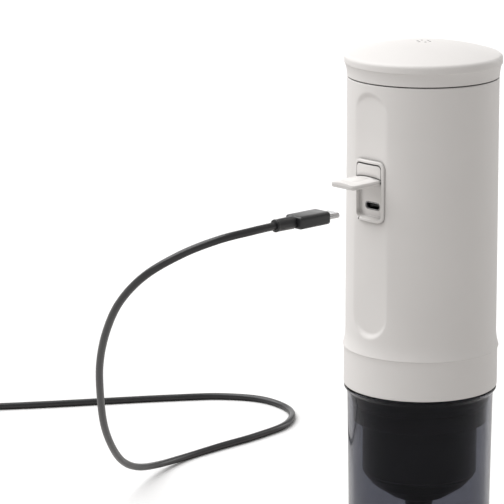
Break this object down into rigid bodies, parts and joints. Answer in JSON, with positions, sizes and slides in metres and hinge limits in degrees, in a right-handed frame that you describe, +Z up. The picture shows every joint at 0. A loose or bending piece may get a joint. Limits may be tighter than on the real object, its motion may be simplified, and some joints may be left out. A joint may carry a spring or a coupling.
{
  "type": "portable espresso maker",
  "caption": "Upright battery espresso maker with a domed tank cap, flat grips, a flap over its charging port, a smoked cup over the brew head and a charging lead.",
  "frame": {"origin": "centre of the cup's foot on the body's axis", "axes": "+Z up the body's axis, -Y out of the charging port, +X to the right of the port as seen by someone facing it"},
  "size_m": [0.421, 0.2604, 0.2385],
  "materials": {
    "body_white": "fine satin moulded",
    "smoked_plastic": "clear smoked copolyester",
    "clear_plastic": "clear moulded",
    "black_plastic": "fine matt",
    "dark_nylon": "matt moulded",
    "white_nylon": "matt moulded",
    "black_rubber": "matt",
    "grey_silicone": "matt",
    "lead_black": "soft-touch jacket",
    "light_ring": "frosted diffuser",
    "board_green": "solder mask",
    "cell_wrap": "shrink sleeve",
    "nickel": "bright nickel plate",
    "steel": "brushed",
    "aluminium": "cast",
    "brass": "machined"
  },
  "bodies": {
    "cup": {"cup": "smoked_plastic", "cup_foot": "black_rubber"},
    "maker": {"body_shell": "body_white", "water_tank": "clear_plastic", "tank_filter": "white_nylon", "port_bezel": "body_white", "port_tab": "body_white", "flap_pin": "steel", "usb_shell": "nickel", "usb_tongue": "black_plastic", "charging_board": "board_green", "charging_chips": "black_plastic", "button_ring": "light_ring", "button_dome": "grey_silicone", "tact_switch": "black_plastic", "control_board": "board_green", "control_chips": "black_plastic", "chassis": "dark_nylon", "battery_tray": "dark_nylon", "battery_cells": "cell_wrap", "cell_strip": "nickel", "motor_can": "steel", "motor_bracket": "dark_nylon", "motor_screws": "steel", "crank_axle": "steel", "pump_block": "white_nylon", "pump_seal": "black_rubber", "suction_tube": "clear_plastic", "pressure_tube": "clear_plastic", "boiler": "aluminium", "heater_ring": "steel", "brew_head": "black_plastic", "cup_seal": "black_rubber", "shower_screen": "steel", "head_gasket": "grey_silicone", "chassis_screws": "steel"},
    "cap": {"top_cap": "body_white", "cap_gasket": "grey_silicone"},
    "flap": {"port_flap": "body_white", "flap_rim": "grey_silicone"},
    "button": {"start_button": "body_white"},
    "rotor": {"motor_shaft": "steel", "motor_pinion": "brass"},
    "crank": {"crank_gear": "white_nylon"},
    "pump_rod": {"plunger": "steel", "plunger_yoke": "white_nylon"},
    "holder": {"basket_holder": "black_plastic", "coffee_basket": "steel"},
    "lead": {"plug_shell": "nickel", "plug_body": "lead_black", "plug_relief": "lead_black", "lead_cord": "lead_black", "lead_coil": "lead_black", "lead_tail": "lead_black", "coil_tie": "black_rubber", "far_plug_body": "lead_black", "far_plug_shell": "nickel", "far_plug_tongue": "white_nylon"}
  },
  "joints": [
    {"name": "maker_lift", "type": "slide", "parent": "cup", "child": "maker", "axis": [0, 0, 1], "range_m": [0, 0.07]},
    {"name": "cap_lift", "type": "slide", "parent": "maker", "child": "cap", "axis": [0, 0, 1], "range_m": [0, 0.03]},
    {"name": "flap_swing", "type": "hinge", "parent": "maker", "child": "flap", "pos_m": [0, -0.0334, 0.1807], "axis": [-1, 0, 0], "range_deg": [-88.7, 0]},
    {"name": "button_press", "type": "slide", "parent": "maker", "child": "button", "axis": [0, -1, 0], "range_m": [0, 0.0008], "stiffness_N_per_m": 2000, "springref_m": -0.0003, "deforming": ["button_dome"]},
    {"name": "motor_spin", "type": "hinge", "parent": "maker", "child": "rotor", "pos_m": [0, 0.009, 0.14], "axis": [0, 0, 1], "continuous": true},
    {"name": "crank_spin", "type": "hinge", "parent": "maker", "child": "crank", "pos_m": [0, 0.0195, 0.13], "axis": [0, 0, 1], "continuous": true},
    {"name": "plunger_stroke", "type": "slide", "parent": "maker", "child": "pump_rod", "axis": [1, 0, 0], "range_m": [-0.0035, 0.0035]},
    {"name": "holder_twist", "type": "hinge", "parent": "maker", "child": "holder", "pos_m": [0, 0, 0.07], "axis": [0, 0, 1], "range_deg": [0, 40]},
    {"name": "lead_plug_in", "type": "slide", "parent": "maker", "child": "lead", "axis": [0, 1, 0], "range_m": [0, 0.0304]}
  ],
  "couplings": [
    {"joint": "motor_spin", "follows": "crank_spin", "ratio": -2.5}
  ]
}
